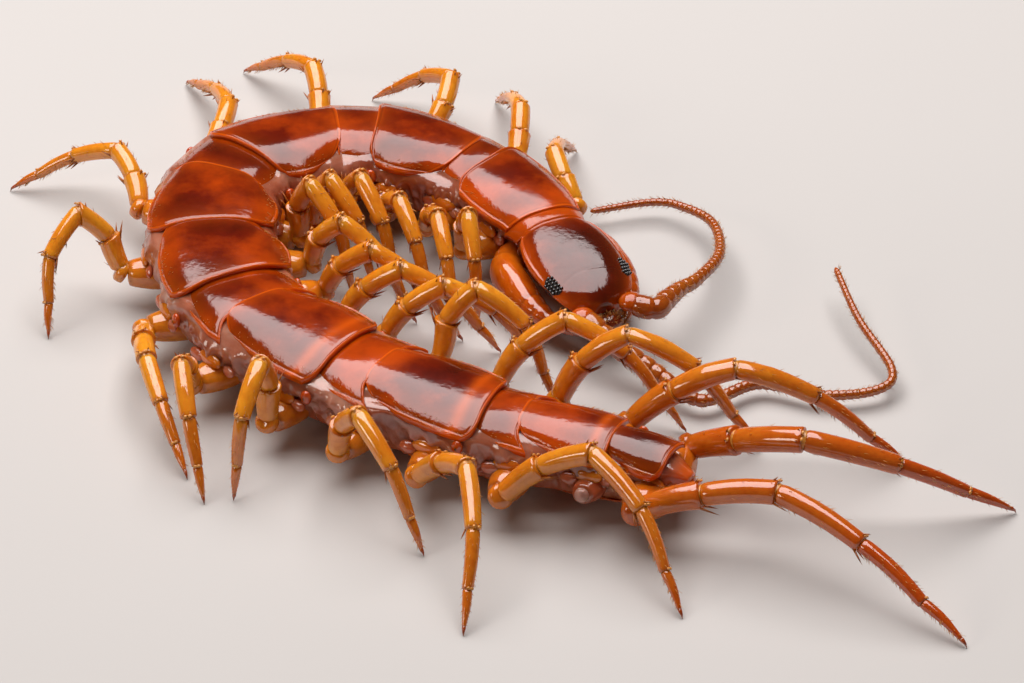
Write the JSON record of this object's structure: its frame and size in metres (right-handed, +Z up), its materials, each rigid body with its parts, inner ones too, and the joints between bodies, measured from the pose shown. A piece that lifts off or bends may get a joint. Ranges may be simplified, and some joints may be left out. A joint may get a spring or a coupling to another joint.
{
  "type": "stone centipede",
  "caption": "Life-size stone centipede curled on level ground, with plated back, jointed legs, poison claws, compound eye clusters and beaded antennae.",
  "frame": {"origin": "middle of the ground footprint, on the ground that the feet stand on", "axes": "+Z up; +X from the curl of the body towards the last legs, the longest way across; +Y away from the last legs' side, over the middle of the curl"},
  "size_m": [0.0264, 0.0256, 0.0034],
  "materials": {
    "back": "glossy mahogany cuticle",
    "legs": "translucent amber cuticle",
    "forcipules": "glossy red-brown cuticle",
    "antennae": "satin, bristly",
    "eyes": "glossy black"
  },
  "bodies": {
    "root": {"head": "back", "forcipular_segment": "back", "trunk_01": "back", "trunk_02": "back", "trunk_03": "back", "trunk_04": "back", "trunk_05": "back", "trunk_06": "back", "trunk_07": "back", "trunk_08": "back", "trunk_09": "back", "trunk_10": "back", "trunk_11": "back", "trunk_12": "back", "trunk_13": "back", "trunk_14": "back", "trunk_15": "back", "tail": "back", "leg_left_01": "legs", "leg_left_02": "legs", "leg_left_03": "legs", "leg_left_04": "legs", "leg_left_05": "legs", "leg_left_06": "legs", "leg_left_07": "legs", "leg_left_08": "legs", "leg_left_09": "legs", "leg_left_10": "legs", "leg_left_11": "legs", "leg_left_12": "legs", "leg_left_13": "legs", "leg_left_15": "legs", "leg_right_01": "legs", "leg_right_02": "legs", "leg_right_03": "legs", "leg_right_04": "legs", "leg_right_05": "legs", "leg_right_06": "legs", "leg_right_07": "legs", "leg_right_08": "legs", "leg_right_09": "legs", "leg_right_10": "legs", "leg_right_11": "legs", "leg_right_12": "legs", "leg_right_13": "legs", "leg_right_14": "legs", "leg_right_15": "legs", "antenna_left_base": "antennae", "antenna_left_middle": "antennae", "antenna_left_tip": "antennae", "antenna_right_base": "antennae", "antenna_right_middle": "antennae", "antenna_right_tip": "antennae", "eye_left": "eyes", "eye_right": "eyes", "forcipule_left": "forcipules", "forcipule_right": "forcipules", "mouthparts": "forcipules"}
  },
  "joints": []
}
